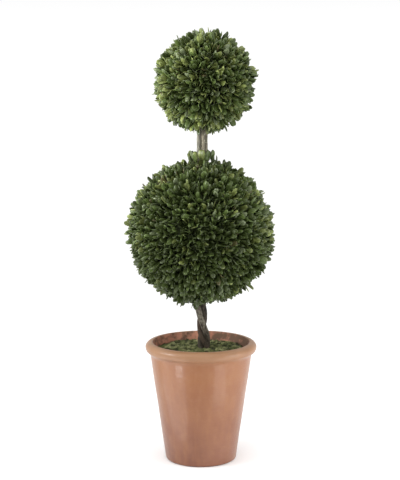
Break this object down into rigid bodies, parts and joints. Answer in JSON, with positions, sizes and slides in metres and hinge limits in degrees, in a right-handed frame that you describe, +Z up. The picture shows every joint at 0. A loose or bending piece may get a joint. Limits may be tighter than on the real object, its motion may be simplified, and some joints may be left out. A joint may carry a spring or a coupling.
{
  "type": "preserved boxwood topiary",
  "caption": "Double ball boxwood topiary on a twisted trunk, in a plain round terracotta pot dressed with moss, for a porch or a room.",
  "frame": {"origin": "middle of the pot's flat underside, where the topiary stands", "axes": "+Z up the plant, the pictured side faces -Y"},
  "size_m": [0.3164, 0.3199, 0.9235],
  "materials": {
    "terracotta": "satin",
    "soil": "matte",
    "moss": "matte",
    "bark": "matte",
    "leaves": "satin"
  },
  "bodies": {
    "root": {"pot": "terracotta", "filling": "soil", "moss": "moss", "stem_left": "bark", "stem_right": "bark", "stem_back": "bark", "lower_ball": "leaves", "upper_ball": "leaves"}
  },
  "joints": []
}
